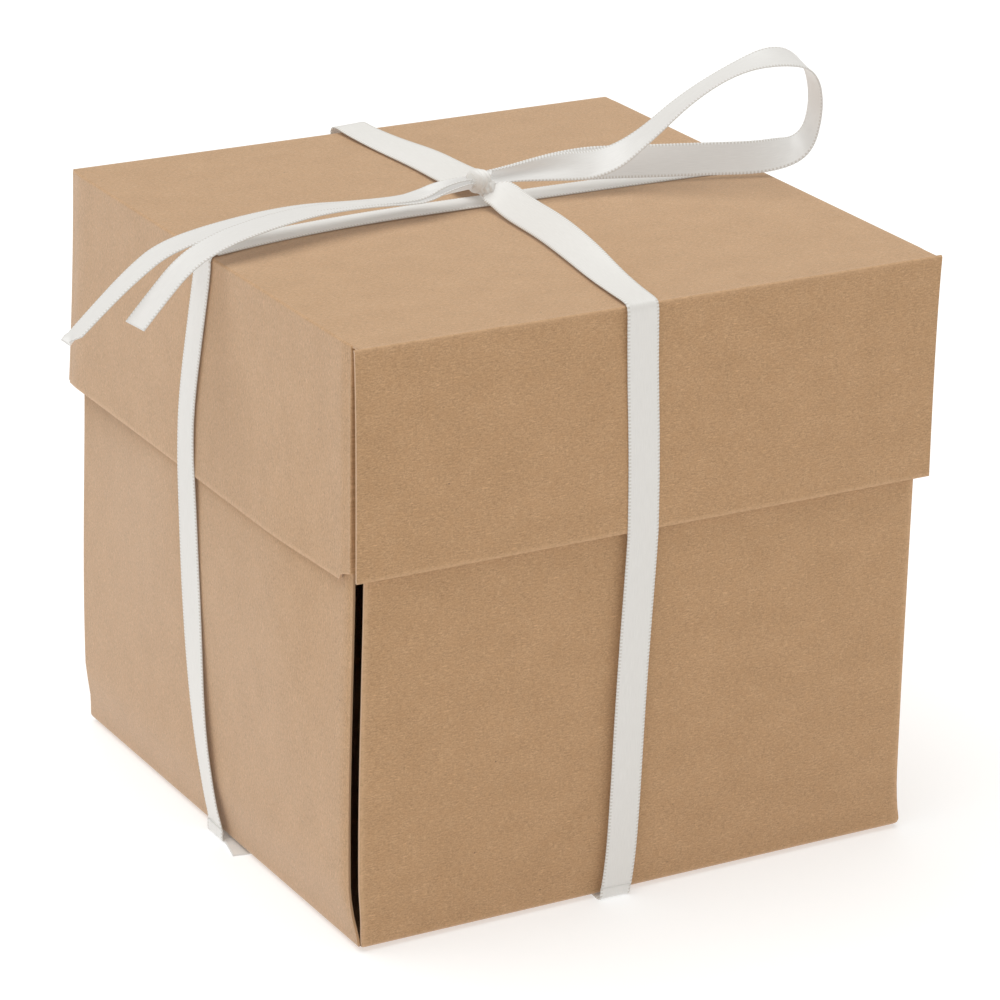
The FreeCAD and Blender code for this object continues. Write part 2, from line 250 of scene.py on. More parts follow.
def satin(name, body, painted_glow):
    """Double-faced satin: a smooth silky ground of lengthwise threads and two ribbed selvedges.

    body is how much of its own colour it reflects. The last argument sets a painted glow:
    the same colour is also emitted, so the ribbon looks lit whatever light falls on it.
    """
    material = bpy.data.materials.new(name)
    n = Nodes(material)
    weave = n.new("ShaderNodeUVMap", {"uv_map": "ribbon"}).outputs["UV"]
    part = n.new("ShaderNodeSeparateXYZ", Vector=weave)
    across, along = part.outputs["X"], part.outputs["Y"]
    edge = n.maths("ABSOLUTE", across)
    selvedge = n.ramp(edge, RIBBON_WIDTH / 2 - 0.55, RIBBON_WIDTH / 2 - 0.35)
    ribs = n.maths("SINE", n.maths("MULTIPLY", along, 2 * math.pi / PICOT_PITCH))
    threads = n.noise(n.scaled(weave, (9.0, 0.35, 1.0)), 1.0, 3.0, 0.6)
    cloudy = n.noise(n.scaled(weave, (0.5, 0.12, 1.0)), 1.0, 2.0)
    ground = n.mix(n.ramp(threads, 0.3, 0.7), (0.91, 0.895, 0.87, 1.0), (0.99, 0.975, 0.95, 1.0))
    ground = n.mix(n.ramp(cloudy, 0.35, 0.7, 0.0, 0.35), ground, (0.94, 0.92, 0.895, 1.0))
    rib_share = n.ramp(ribs, -0.6, 0.6)
    border = n.mix(rib_share, (0.80, 0.765, 0.71, 1.0), (1.0, 0.99, 0.97, 1.0))
    colour = n.mix(selvedge, ground, border)
    n.feed(n.skin.inputs["Base Color"], n.mix(body, (0.0, 0.0, 0.0, 1.0), colour))
    # Painted glow: the ribbon's own colour is also emitted, brightening it whatever light falls on it.
    n.feed(n.skin.inputs["Emission Color"], colour)
    n.feed(n.skin.inputs["Roughness"], n.ramp(selvedge, 0.0, 1.0, 0.36, 0.62))
    n.skin.inputs["Emission Strength"].default_value = painted_glow
    n.skin.inputs["Anisotropic"].default_value = 0.5
    n.skin.inputs["Sheen Weight"].default_value = 0.25
    n.skin.inputs["Sheen Roughness"].default_value = 0.4
    n.skin.inputs["Specular IOR Level"].default_value = 0.5
    height = n.maths("ADD", n.maths("MULTIPLY", threads, 0.35),
                     n.maths("MULTIPLY", n.maths("MULTIPLY", selvedge, rib_share), 0.9))
    bump = n.new("ShaderNodeBump", Height=height, Strength=0.4, Distance=0.00010)
    n.feed(n.skin.inputs["Normal"], bump.outputs["Normal"])
    return material


# ---------------------------------------------------------------- meshes

CUT_EDGE = 0.55       # how pale the board's raw edges are, as wear


def finished(name, verts, quads, uv_name, uvs, material, wear_and_highlight=None, sharp=None, rim_quads=0):
    """A mesh object from arrays in millimetres, with one UV pair per vertex.

    The last rim_quads faces are the board's raw edges.
    """
    mesh = bpy.data.meshes.new(name)
    mesh.from_pydata((np.asarray(verts) * MM).tolist(), [], quads)
    layer = mesh.uv_layers.new(name=uv_name)
    corner_verts = np.empty(len(mesh.loops), dtype=np.int32)
    mesh.loops.foreach_get("vertex_index", corner_verts)
    layer.data.foreach_set("uv", np.asarray(uvs, dtype=np.float32)[corner_verts].ravel())
    # Per-corner paleness: rubbed wear, with painted highlight at some creases and ridges; raw edges are
    # set to CUT_EDGE.
    if wear_and_highlight is not None:
        worn_and_lit = np.asarray(wear_and_highlight, dtype=np.float32)[corner_verts]
        worn_and_lit[len(worn_and_lit) - 4 * rim_quads:] = CUT_EDGE
        attribute = mesh.attributes.new("wear_and_highlight", "FLOAT", "CORNER")
        attribute.data.foreach_set("value", worn_and_lit)
    mesh.polygons.foreach_set("use_smooth", [True] * len(mesh.polygons))
    if sharp:
        for edge in mesh.edges:
            if tuple(sorted(edge.vertices)) in sharp:
                edge.use_edge_sharp = True
    mesh.materials.append(material)
    mesh.validate()
    return placed(name, mesh)


def smooth_step(value, start, end):
    share = np.clip((value - start) / (end - start), 0.0, 1.0)
    return share * share * (3 - 2 * share)


def ripple(x, y, z, size, seed):
    """A gentle fixed unevenness, about -1 to 1, from a few waves."""
    total = np.zeros_like(np.asarray(x, dtype=float))
    for turn in range(1, 4):
        a, b = math.sin(seed * 1.7 + turn * 2.1), math.cos(seed + turn * 1.3)
        c = math.sin(seed * 0.6 + turn)
        along = a * x + b * y + c * z
        total = total + np.sin(along * (turn * 2 * math.pi / size) / 2 + seed * turn) / turn
    return total / 1.8


# ---------------------------------------------------------------- how the folded board has settled

def lid_shape(p):
    """The lid's walls spring out a little towards the rim, the left one most.

    The left wall stays in by the front corner, where its tab holds it. The top sags a little.
    """
    x, y, z = p[..., 0], p[..., 1], p[..., 2]
    depth = np.clip((LID_TOP - z) / SKIRT, 0.0, 1.2)
    held = smooth_step(y, -LID_Y + 3.0, -LID_Y + 34.0)
    left = smooth_step(-x, LID_X - 8.0, LID_X - 0.6)
    right = smooth_step(x, LID_X - 8.0, LID_X - 0.6)
    back = smooth_step(y, LID_Y - 8.0, LID_Y - 0.6)
    front = smooth_step(-y, LID_Y - 8.0, LID_Y - 0.6)
    out = np.array(p, dtype=float)
    out[..., 0] += (-1.35 * held * left + 0.25 * right) * depth ** 1.4
    out[..., 1] += (0.5 * back - 0.12 * front) * depth ** 1.4
    wobble = ripple(x, y, z, 130.0, 2.0) * 0.22
    out[..., 0] += wobble * (right - left) * depth
    out[..., 1] += ripple(x, y, z, 110.0, 5.0) * 0.2 * (back - front) * depth
    on_top = smooth_step(z, LID_TOP - 3.0, LID_TOP - 1.0)
    inside = (1 - (x / LID_X) ** 2) * (1 - (y / LID_Y) ** 2)
    out[..., 2] += on_top * inside * (0.25 * ripple(x, y, 0 * z, 95.0, 8.0) - 0.25)
    return out


def box_shape(p):
    """The sides bow out a little above their base creases.

    The left one's front edge curls in, and its front half leans out to meet the lid's rim.
    """
    x, y, z = p[..., 0], p[..., 1], p[..., 2]
    rise = z - BASE
    belly = smooth_step(rise, 0.0, 13.0) * (1 - 0.65 * smooth_step(rise, 18.0, 80.0))
    left = smooth_step(-x, BODY_X - 6.0, BODY_X - 0.6)
    right = smooth_step(x, BODY_X - 6.0, BODY_X - 0.6)
    back = smooth_step(y, BODY_Y - 6.0, BODY_Y - 0.6)
    front = smooth_step(-y, BODY_Y - 6.0, BODY_Y - 0.6)
    out = np.array(p, dtype=float)
    out[..., 0] += (-1.35 * left - 0.35 * right) * belly + 0.35 * (1 - smooth_step(rise, 0.0, 60.0))
    out[..., 1] += (0.6 * back - 0.25 * front) * belly
    curl = smooth_step(-y, BODY_Y - 4.6, BODY_Y - 1.6) * left * smooth_step(rise, 2.0, 12.0)
    out[..., 0] += 0.5 * curl
    out[..., 0] += ripple(x, y, z, 120.0, 3.0) * 0.2 * (right - left) * belly
    lean = smooth_step(rise, 15.0, 68.0) * (1 - smooth_step(rise, 72.0, 112.0))
    lean = lean * smooth_step(y, -LID_Y + 6.0, -LID_Y + 34.0) * (1 - smooth_step(y, 12.0, 60.0))
    out[..., 0] -= 1.45 * left * lean
    out[..., 1] += ripple(x, y, z, 140.0, 6.0) * 0.2 * (back - front) * belly
    return out


def board(name, node, body, outer, shape, grain, wear_and_highlight, material):
    """A piece of board from a grid of points on its outer face, given thickness inwards.

    outer, grain and the paleness are grids of rows: points, UV pairs and 0 to 1, where the
    paleness is partly rubbed wear and partly painted highlight. Rows run so that the cross
    product of along-a-row and row-to-row steps points inwards.
    """
    face = shape(outer)
    along = np.gradient(face, axis=1)
    down = np.gradient(face, axis=0)
    inward = np.cross(along, down)
    inward /= np.linalg.norm(inward, axis=2)[..., None]
    rows, cols = face.shape[:2]
    verts = np.concatenate([face.reshape(-1, 3), (face + inward * BOARD).reshape(-1, 3)])
    uvs = np.concatenate([grain.reshape(-1, 2), grain.reshape(-1, 2) + (37.0, 11.0)])
    worn_and_lit = np.concatenate([wear_and_highlight.reshape(-1), wear_and_highlight.reshape(-1) * 0.2])
    back = rows * cols
    quads = []
    for r in range(rows - 1):
        for c in range(cols - 1):
            a, b = r * cols + c, r * cols + c + 1
            d, e = a + cols, b + cols
            quads.append((a, d, e, b))
            quads.append((back + a, back + b, back + e, back + d))
    border = list(range(cols))
    border += [r * cols + cols - 1 for r in range(1, rows)]
    border += [(rows - 1) * cols + c for c in range(cols - 2, -1, -1)]
    border += [r * cols for r in range(rows - 2, 0, -1)]
    sharp = set()
    for here, there in zip(border, border[1:] + border[:1]):
        quads.append((here, there, back + there, back + here))
        sharp.add(tuple(sorted((here, there))))
        sharp.add(tuple(sorted((back + here, back + there))))
    piece = finished(name, verts, quads, "board", uvs, material, worn_and_lit, sharp, len(border))
    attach(piece, body)
    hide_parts(node)
    return piece


def spaced(start, end, fine, coarse, ends=(True, True)):
    """Stations from start to end, close together near the chosen ends and coarse between."""
    near = np.cumsum([0.0, fine, fine, 2 * fine])
    reach = 8 * fine
    length = abs(end - start)
    inner_start, inner_end = reach * ends[0], length - reach * ends[1]
    count = max(2, int(round((inner_end - inner_start) / coarse)))
    steps = list(np.linspace(inner_start, inner_end, count + 1))
    if ends[0]:
        steps = list(near) + steps
    if ends[1]:
        steps = steps + list(length - near[::-1])
    direction = 1 if end > start else -1
    return start + direction * np.array(steps)


CREASE = 0.5          # outside radius of the lid's creases
BASE_CREASE = 1.1     # and of the creases round the base
CREASE_STEPS = 6
# A wall's fold into its tab: radius, how far short of the corner it starts, and how far the board
# runs on behind it.
FOLDS = {"front": (0.35, 2.75, 1.3), "back": (0.5, 0.95, 0.0)}
FOLD_STEPS = 9
NOTCH = 54.6          # how far forward along a folded wall its tab's lower edge steps up
NOTCH_RUN = 0.75      # over this length
TAB_STEP = 1.3        # by this much
TAB_SLOPE = 0.30      # and climbs at this slope from there on
RIM_HANG, RIM_DROP = 0.1, 1.3   # a folded wall's rim hangs this much low, and lower to the front
EAR = 0.6             # how far the front wall's raw edge stands out at its top
BACK_SHORT = 0.7      # how far the back wall stops short of its corners
# How much paler each lid crease is painted: partly rubbed wear and partly a painted highlight where light
# catches the rounded fold, most on the front, none on the left.
CREASE_WEAR_AND_HIGHLIGHT = {"front": 0.55, "back": 0.4, "left": 0.0, "right": 0.3}
RIM_WEAR = 0.9
FRONT_RELIEF = 0.95   # how far short of the corner the raw edge stops on the front and back sides
LEFT_RELIEF = 2.35    # and on the left and right ones
FOOT_RELIEF = 0.55    # and on all of them at the base
TAB_TAPER = 6.0       # how far a tab's top and bottom edges slope in at its tip
# Each kind of panel takes its own stretch of the board's fibre pattern.
LID_GRAINS, SIDE_GRAINS, TAB_GRAIN, BASE_GRAIN = (200.0, 300.0), (500.0, 650.0), 400.0, 800.0


def on_wall(side, half_x, half_y, place, inset, height):
    """A point of an upright wall. Seen from outside, place runs from left to right."""
    return {
        "front": (place, inset - half_y, height), "back": (-place, half_y - inset, height),
        "left": (inset - half_x, -place, height), "right": (half_x - inset, place, height),
    }[side]


def on_grain(across, starts, place, run):
    """The fibres of all four walls run the same way on the flat blank."""
    return (place, run + starts[0]) if across else (run + starts[1], place)


def lid_top_piece(material):
    half_x, half_y = LID_X - CREASE, LID_Y - CREASE
    xs = spaced(-half_x, half_x, 0.5, 3.0)
    ys = spaced(half_y, -half_y, 0.5, 3.0)
    gx, gy = np.meshgrid(xs, ys)
    outer = np.stack([gx, gy, np.full_like(gx, LID_TOP)], axis=2)
    gap = np.minimum(half_x - np.abs(gx), half_y - np.abs(gy))
    # The top is painted paler close to its creases, except the left one: partly wear and partly painted
    # highlight.
    wear_and_highlight = 0.2 * np.clip(1 - gap / 1.2, 0, 1) * (gx > -half_x + 1.5)
    board("lid_top_board", "lid_top", "lid", outer, lid_shape, np.stack([gx, gy], axis=2), wear_and_highlight, material)


def wall_profile(bottom):
    """(inset, height, run) down a wall: over the crease from the top, then straight to its edge."""
    points = []
    for step in range(CREASE_STEPS + 1):
        angle = math.pi / 2 * step / CREASE_STEPS
        inset, height = CREASE * (1 - math.sin(angle)), LID_TOP - CREASE * (1 - math.cos(angle))
        points.append((inset, height, CREASE * angle))
    start = CREASE * math.pi / 2
    for height in spaced(LID_TOP - CREASE, bottom, 0.5, 2.6)[1:]:
        points.append((0.0, height, start + LID_TOP - CREASE - height))
    return points


def turned_stations(reach):
    """(place, inset) along a left or right wall, from its back corner's fold to its front one's."""
    halves = []
    for end in ("front", "back"):
        radius, short, run_on = FOLDS[end]
        flat = reach - short
        places = list(spaced(0.0, flat, 0.45, 3.0, (False, True)))
        if end == "front":
            places = [place for place in places if abs(place - NOTCH) > 0.9]
            places = sorted(places + [NOTCH + step for step in (-0.5, 0.0, 0.12, 0.4, NOTCH_RUN)])
        half = [(place, 0.25 * float(smooth_step(place, flat - 3.0, flat))) for place in places]
        curl = half[-1][1]
        for step in range(1, FOLD_STEPS + 1):
            angle = math.pi / 2 * step / FOLD_STEPS
            half.append((flat + radius * math.sin(angle), curl + radius * (1 - math.cos(angle))))
        if run_on:
            half.append((flat + radius, curl + radius + run_on))
        halves.append(half)
    front, back = halves
    return [(-place, inset) for place, inset in reversed(back)] + front[1:]


def folded_rim(forward, reach, height):
    """How far a left or right wall is moved up here: its rim hangs low, and steps up at its tab."""
    low_share = float(smooth_step(LID_TOP - height, 2.0, SKIRT))
    lift = -low_share * (RIM_HANG + RIM_DROP * (forward + reach) / (2 * reach))
    if forward > 0:
        step_up = TAB_STEP * min(1.0, max(0.0, (forward - NOTCH) / NOTCH_RUN))
        step_up += TAB_SLOPE * max(0.0, forward - NOTCH - NOTCH_RUN)
        lift += step_up * max(0.0, min(1.0, (RIM + 3.0 - height) / 3.0))
    return lift


def lid_wall(side, material):
    """side is front, back, left or right.

    The front and back walls end in raw edges at the corner. The left and right ones turn the corner
    behind them.
    """
    across = side in ("front", "back")
    reach = {"front": LID_X, "back": LID_X - BACK_SHORT}.get(side, LID_Y - BOARD)
    stations = [(place, 0.0) for place in spaced(-reach, reach, 0.5, 3.0)]
    if not across:
        stations = turned_stations(reach)
    if side == "right":
        stations = [(-place, inset) for place, inset in reversed(stations)]
    rows, grains, wear_and_highlight_rows = [], [], []
    for inset, height, run in wall_profile(RIM):
        row, grain, wear_and_highlight = [], [], []
        # A pale line along the crease, partly wear and partly painted highlight, and a pale line above
        # the rim's raw edge.
        crease = CREASE_WEAR_AND_HIGHLIGHT[side] * max(0.0, 1 - abs(run - CREASE * 0.8) / 0.9)
        rim = RIM_WEAR * max(0.0, 1 - (height - RIM) / 0.9)
        for place, drawn in stations:
            z, at = height, place
            if side == "front":
                at = place * (1 + EAR / LID_X * math.exp((height - LID_TOP) / 12.0))
            elif not across:
                z += folded_rim(place if side == "left" else -place, reach, height)
            row.append(on_wall(side, LID_X, LID_Y, at, inset + drawn, z))
            grain.append(on_grain(across, LID_GRAINS, place, run))
            wear_and_highlight.append(max(crease, rim))
        rows.append(row)
        grains.append(grain)
        wear_and_highlight_rows.append(wear_and_highlight)
    board(f"lid_{side}_board", f"lid_{side}_wall", "lid", np.array(rows), lid_shape, np.array(grains),
          np.array(wear_and_highlight_rows), material)


def lid_tab(end, hand, material):
    """The glue tab of the hand wall, folded in behind the end wall, with tapered edges."""
    lo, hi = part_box(f"lid_tab_{end}_{hand}")
    lo, hi = lo / MM, hi / MM
    facing = 1 if end == "front" else -1
    face = lo.y if end == "front" else hi.y
    root, tip = (lo.x + 1.0, hi.x) if hand == "left" else (hi.x - 1.0, lo.x)
    xs = np.linspace(root, tip, 8)
    if (end == "front") == (hand == "right"):
        xs = xs[::-1]
    rows = []
    for share in np.linspace(1.0, 0.0, 12):
        row = []
        for x in xs:
            cut = TAB_TAPER * abs(x - root) / abs(tip - root)
            bottom, top = lo.z + cut + 0.3, hi.z - cut
            row.append((x, face + facing * 0.02, bottom + (top - bottom) * share))
        rows.append(row)
    outer = np.array(rows)
    grain = outer[..., [0, 2]] + TAB_GRAIN
    board(f"lid_tab_{end}_{hand}_board", f"lid_tab_{end}_{hand}", "lid", outer, lid_shape, grain,
          np.zeros(outer.shape[:2]), material)


def box_side(side, material):
    """One upright side, with its crease into the base. Open slots run down its two ends."""
    across = side in ("front", "back")
    half, relief = (BODY_X, FRONT_RELIEF) if across else (BODY_Y, LEFT_RELIEF)
    tall = SIDE_TOP - BASE
    profile = []
    for height in spaced(SIDE_TOP, BASE + BASE_CREASE, 0.6, 3.0)[:-1]:
        profile.append((0.0, height, SIDE_TOP - height))
    for step in range(CREASE_STEPS + 1):
        angle = math.pi / 2 * step / CREASE_STEPS
        inset, drop = BASE_CREASE * (1 - math.cos(angle)), BASE_CREASE * (1 - math.sin(angle))
        profile.append((inset, BASE + drop, tall - BASE_CREASE + BASE_CREASE * angle))
    shares = spaced(-1.0, 1.0, 0.007, 0.05)
    rows, grains, wear_and_highlight_rows = [], [], []
    for inset, height, run in profile:
        opened = float(smooth_step(height - BASE, 0.5, 8.0))
        reach = half - FOOT_RELIEF - inset - (relief - FOOT_RELIEF) * opened
        crease = 0.4 * max(0.0, 1 - abs(run - tall) / 1.6)
        row, grain, wear_and_highlight = [], [], []
        for share in shares:
            place = share * reach
            row.append(on_wall(side, BODY_X, BODY_Y, place, inset, height))
            grain.append(on_grain(across, SIDE_GRAINS, place, run))
            from_edge = reach - abs(place)
            strip = 0.8 * max(0.0, 1 - (from_edge / 0.9) ** 4) if across else 0.0
            # Painted highlight: a pale line 2.3 mm in from each end of a left or right side, where its
            # board starts to curl.
            ridge_highlight = 0.0 if across else 0.55 * max(0.0, 1 - abs(from_edge - 2.3) / 0.5)
            wear_and_highlight.append(max(strip, ridge_highlight, crease))
        rows.append(row)
        grains.append(grain)
        wear_and_highlight_rows.append(wear_and_highlight)
    board(f"{side}_side_board", f"{side}_side", "box", np.array(rows), box_shape, np.array(grains),
          np.array(wear_and_highlight_rows), material)


def base_piece(material):
    half_x, half_y = BODY_X - BASE_CREASE, BODY_Y - BASE_CREASE
    xs = spaced(-half_x, half_x, 0.5, 4.0)
    ys = spaced(-half_y, half_y, 0.5, 4.0)
    gx, gy = np.meshgrid(xs, ys)
    outer = np.stack([gx, gy, np.full_like(gx, BASE)], axis=2)
    grain = np.stack([gx, gy], axis=2) + BASE_GRAIN
    board("base_board", "base_panel", "box", outer, box_shape, grain, np.zeros_like(gx), material)


# ---------------------------------------------------------------- ribbon

def route(name, places):
    """Points along a smooth NURBS line through the given control points, in millimetres."""
    curve = bpy.data.curves.new(name, "CURVE")
    curve.dimensions = "3D"
    curve.resolution_u = 40
    spline = curve.splines.new("NURBS")
    spline.points.add(len(places) - 1)
    for point, place in zip(spline.points, places):
        point.co = (place[0] * MM, place[1] * MM, place[2] * MM, 1.0)
    spline.order_u = 3
    spline.use_endpoint_u = True
    holder = placed(name, curve)
    mesh = bpy.data.meshes.new_from_object(holder)
    line = np.array([vertex.co for vertex in mesh.vertices]) / MM
    bpy.data.objects.remove(holder)
    bpy.data.curves.remove(curve)
    bpy.data.meshes.remove(mesh)
    return line


COLUMNS = 9           # strips across half a ribbon's face
GATHER = 0.22         # how high gathered ribbon folds, as a share of half its width


def ribbon(name, rows, body, nodes, material, pinch=((1.0, 1.0), (1.0, 1.0)),
           gathered=False, width=RIBBON_WIDTH):
    """A flat satin ribbon along rows of (middle, direction of its width).

    pinch is (share of the width, length of the narrowed stretch) at the start and at the end, and
    gathered ribbon folds up lengthwise where it is narrowed.
    """
    half = width / 2
    middle = route(name + "_middle", [row[:3] for row in rows])
    edge = route(name + "_edge", [tuple(np.array(row[:3]) + np.array(row[3:6]) * half) for row in rows])
    gaps = np.linalg.norm(np.diff(middle, axis=0), axis=1)
    run = np.concatenate([[0.0], np.cumsum(gaps)])
    length = run[-1]
    count = int(round(length / (PICOT_PITCH / 2)))
    stations = np.linspace(0.0, length, count + 1)
    centre = np.stack([np.interp(stations, run, middle[:, k]) for k in range(3)], axis=1)
    side = np.stack([np.interp(stations, run, (edge - middle)[:, k]) for k in range(3)], axis=1)
    tangent = np.gradient(centre, axis=0)
    tangent /= np.linalg.norm(tangent, axis=1)[:, None]
    side -= (side * tangent).sum(axis=1)[:, None] * tangent
    side /= np.linalg.norm(side, axis=1)[:, None]
    normal = np.cross(tangent, side)
    (first, first_length), (last, last_length) = pinch
    share = first + (1 - first) * smooth_step(stations, 0.0, first_length)
    share *= last + (1 - last) * smooth_step(length - stations, 0.0, last_length)
    height = np.sqrt(np.clip(1 - share ** 2, 0, 1)) * half * GATHER * gathered
    bump = np.where(np.arange(count + 1) % 2 == 0, PICOT_REACH, 0.0)
    us = np.linspace(-1, 1, 2 * COLUMNS + 1)
    rings = []
    uvs = []
    for face in (1, -1):
        for u in (us if face == 1 else us[::-1]):
            rim = abs(u) > 0.99
            beside = abs(u) > 0.8
            across = u * half * share + (np.sign(u) * bump if rim else 0.0)
            thick = np.full(count + 1, (SELVEDGE_THICK if beside else RIBBON_THICK) / 2)
            if rim:
                thick = thick * 0.55
            lift = height * math.cos(math.pi * u)
            rings.append(centre + side * across[:, None] + normal * (lift + face * thick)[:, None])
            uvs.append(np.stack([np.full(count + 1, u * half), stations + 3.0 * face], axis=1))
    verts = np.stack(rings, axis=1)
    pairs = np.stack(uvs, axis=1)
    around = verts.shape[1]
    quads = []
    for s in range(count):
        for k in range(around):
            a, b = s * around + k, s * around + (k + 1) % around
            quads.append((a, b, b + around, a + around))
    columns = len(us)
    for s, flip in ((0, False), (count, True)):
        for k in range(columns - 1):
            top, under = s * around + k, s * around + (around - 1 - k)
            quad = (top, under, under - 1, top + 1)
            quads.append(quad[::-1] if flip else quad)
    piece = finished(name, verts.reshape(-1, 3), quads, "ribbon", pairs.reshape(-1, 2), material)
    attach(piece, body)
    if nodes:
        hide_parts(*nodes)
    return piece, centre * MM, length * MM


# Rows of (x, y, z, and the direction of the ribbon's width).
LOOP = [
    (2.4, 6.0, 123.0, 0, 0.3, 1), (12.0, 6.5, 123.5, 0, 0.45, 1), (26.0, 6.0, 122.9, 0, 0.5, 1),
    (38.0, 4.4, 122.1, 0, 0.5, 1), (50.0, 1.4, 121.8, 0, 0.5, 1), (60.5, -2.4, 121.8, 0, 0.5, 1),
    (69.4, -2.8, 123.3, 0.15, 1, 0.25), (71.2, -3.4, 131.5, 0.15, 1, 0),
    (69.6, -3.0, 139.4, 0.1, 1, 0.15), (63.0, -2.6, 142.7, 0, 0.9, 0.45),
    (53.0, -1.4, 140.7, 0, 1, -0.1), (43.0, 0.0, 135.6, 0, 1, -0.16),
    (34.0, 1.8, 127.8, 0, 1, -0.02), (26.0, 2.8, 123.4, 0, 0.8, 0.5), (14.0, 3.6, 123.9, 0, 0.6, 0.8),
    (2.4, 5.2, 123.2, 0, 0.3, 1),
]
LONG_TAIL = [
    (-2.4, 5.5, 122.9, 0, 1, 0), (-8.0, 5.2, 123.0, 0, 1, -0.1), (-14.0, 4.8, 121.4, 0, 1, -0.1),
    (-26.0, 4.2, 122.0, 0, 1, -0.12), (-40.0, 3.2, 123.2, 0, 1, -0.05), (-56.0, 2.2, 122.2, 0, 1, 0),
    (-69.0, 1.2, 120.2, 0, 1, 0), (-76.0, 0.2, 116.3, 0, 1, -0.05), (-83.0, -0.7, 111.2, 0, 1, -0.15),
    (-90.2, -1.7, 105.5, 0, 1, -0.2),
]
SHORT_TAIL = [
    (-2.4, 5.0, 122.3, 0, 1, 0), (-8.0, 4.4, 122.2, 0, 1, 0), (-14.0, 4.0, 121.0, 0, 1, -0.1),
    (-26.0, 3.2, 122.2, 0, 1, -0.1), (-38.0, 1.2, 123.2, 0, 1, -0.02), (-50.0, -2.2, 123.2, 0, 1, 0.05),
    (-61.0, -4.6, 121.9, 0, 1, 0.1), (-68.5, -5.8, 118.8, 0, 1, 0.1), (-74.0, -6.4, 113.7, 0, 1, 0.1),
    (-79.0, -6.9, 108.7, 0, 1, 0.1),
]
FRONT_BAND = [
    (1.0, 5.4, 121.6, 0.9, 0, 0.3), (2.3, 1.4, 121.2, 0.85, 0, 0.5), (1.6, -6.0, 120.4, 0.82, 0, 0.57),
    (1.1, -20.0, 120.4, 0.82, 0, 0.57), (-0.6, -34.0, 120.0, 0.9, 0, 0.43),
    (-2.2, -46.0, 119.1, 0.98, 0, 0.16), (-3.2, -55.0, 118.8, 1, 0, 0.03),
    (-3.8, -60.6, 118.85, 1, 0, 0), (-3.9, -62.3, 118.4, 1, 0, 0),
    (-3.8, -62.25, 115.0, 1, 0, 0), (-3.2, -61.8, 104.0, 1, 0, 0), (-2.4, -61.7, 90.0, 1, 0, 0),
    (-2.1, -61.7, 76.0, 1, 0, 0), (-2.2, -61.75, 71.0, 1, 0, 0), (-3.6, -61.7, 44.0, 1, 0, 0),
    (-4.4, -61.6, 14.0, 1, 0, 0), (-5.3, -61.6, 4.0, 1, 0, 0), (-5.8, -61.6, 1.5, 1, 0, 0),
]
BACK_BAND = [
    (0.3, 6.8, 121.8, 0.9, 0, 0.3), (1.2, 11.0, 121.0, 0.9, 0, 0.4), (1.8, 20.0, 120.1, 0.9, 0, 0.43),
    (2.2, 32.0, 119.8, 0.92, 0, 0.38), (1.4, 46.0, 119.2, 0.98, 0, 0.2), (0.9, 57.0, 119.1, 1, 0, 0.1),
    (0.6, 62.6, 119.5, 1, 0, 0.05), (0.6, 63.6, 117.5, 1, 0, 0), (0.9, 62.6, 110.0, 1, 0, 0),
    (1.6, 62.2, 92.0, 1, 0, 0), (2.4, 62.2, 74.0, 1, 0, 0), (3.0, 62.0, 44.0, 1, 0, 0),
    (3.8, 61.8, 12.0, 1, 0, 0), (4.0, 61.7, 1.5, 1, 0, 0),
]
SIDE_BAND = [
    (-60.95, -2.4, 1.5, 0, 1, 0), (-61.15, -2.3, 3.2, 0.06, 1, 0), (-61.7, -0.9, 8.0, 0.1, 1, 0),
    (-62.2, 2.8, 22.0, 0.06, 1, 0), (-62.6, 4.4, 44.0, -0.12, 1, 0), (-63.0, 5.4, 70.0, -0.08, 1, 0),
    (-63.05, 5.8, 78.0, -0.02, 1, 0), (-62.7, 5.8, 88.0, 0, 1, 0), (-62.1, 2.2, 106.0, 0, 1, 0),
    (-61.85, 0.1, 115.5, 0, 1, 0), (-61.85, 0.0, 118.4, 0, 1, 0), (-60.3, 0.6, 118.5, 0, 1, 0),
    (-50.0, 3.4, 118.3, 0, 1, 0), (-36.0, 5.6, 118.27, 0, 1, 0), (-20.0, 6.7, 118.27, 0, 1, 0),
    (0.0, 6.5, 118.27, 0, 1, 0), (20.0, 6.2, 118.27, 0, 1, 0), (44.0, 5.6, 118.27, 0, 1, 0),
    (60.3, 5.0, 118.3, 0, 1, 0), (61.9, 5.0, 118.4, 0, 1, 0), (61.9, 5.0, 116.5, 0, 1, 0),
    (61.9, 4.6, 96.0, 0, 1, 0), (62.0, 4.0, 74.0, 0, 1, 0), (61.9, 1.6, 44.0, 0, 1, 0),
    (61.8, -1.4, 12.0, 0, 1, 0), (61.7, -2.4, 1.5, 0, 1, 0),
]
UNDER_FRONT_TO_BACK = [
    (-5.8, -61.75, 2.6, 1, 0, 0), (-5.9, -61.7, 0.6, 1, 0, 0), (-6.0, -61.2, 0.2, 1, 0, 0),
    (-5.7, -58.0, 0.18, 1, 0, 0), (-1.0, 0.0, 0.18, 1, 0, 0), (3.7, 58.0, 0.18, 1, 0, 0),
    (4.0, 61.2, 0.2, 1, 0, 0), (4.0, 61.8, 0.6, 1, 0, 0), (4.0, 61.85, 2.6, 1, 0, 0),
]
